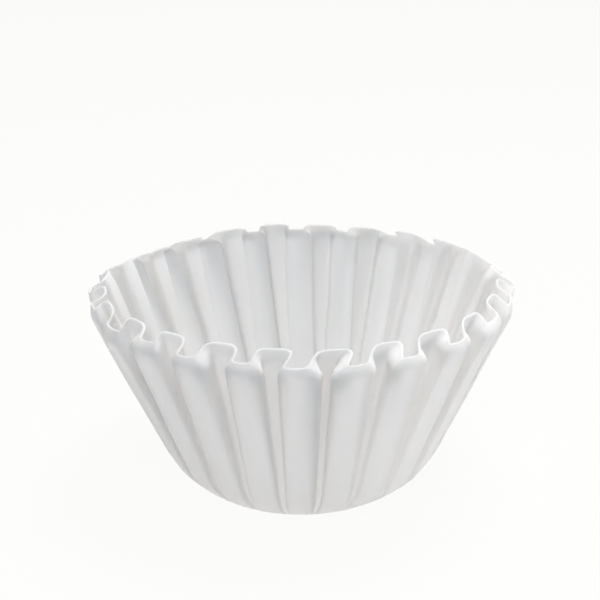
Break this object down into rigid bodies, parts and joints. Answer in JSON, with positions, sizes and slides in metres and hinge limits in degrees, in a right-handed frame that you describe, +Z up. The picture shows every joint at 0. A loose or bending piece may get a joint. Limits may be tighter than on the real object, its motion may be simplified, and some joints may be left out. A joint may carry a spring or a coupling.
{
  "type": "basket coffee filter",
  "caption": "Small paper basket filter for drip coffee: a flat round base, a wide bend and a steep fluted wall with a short inward lip.",
  "frame": {"origin": "centre of the base's underside", "axes": "+Z up along the cup's axis, out of its open top; the middle of a lobe faces -Y"},
  "size_m": [0.1, 0.1, 0.0489],
  "materials": {
    "crepe_paper": "matte white crepe filter paper, slightly translucent"
  },
  "bodies": {
    "root": {"filter_paper": "crepe_paper"}
  },
  "joints": []
}
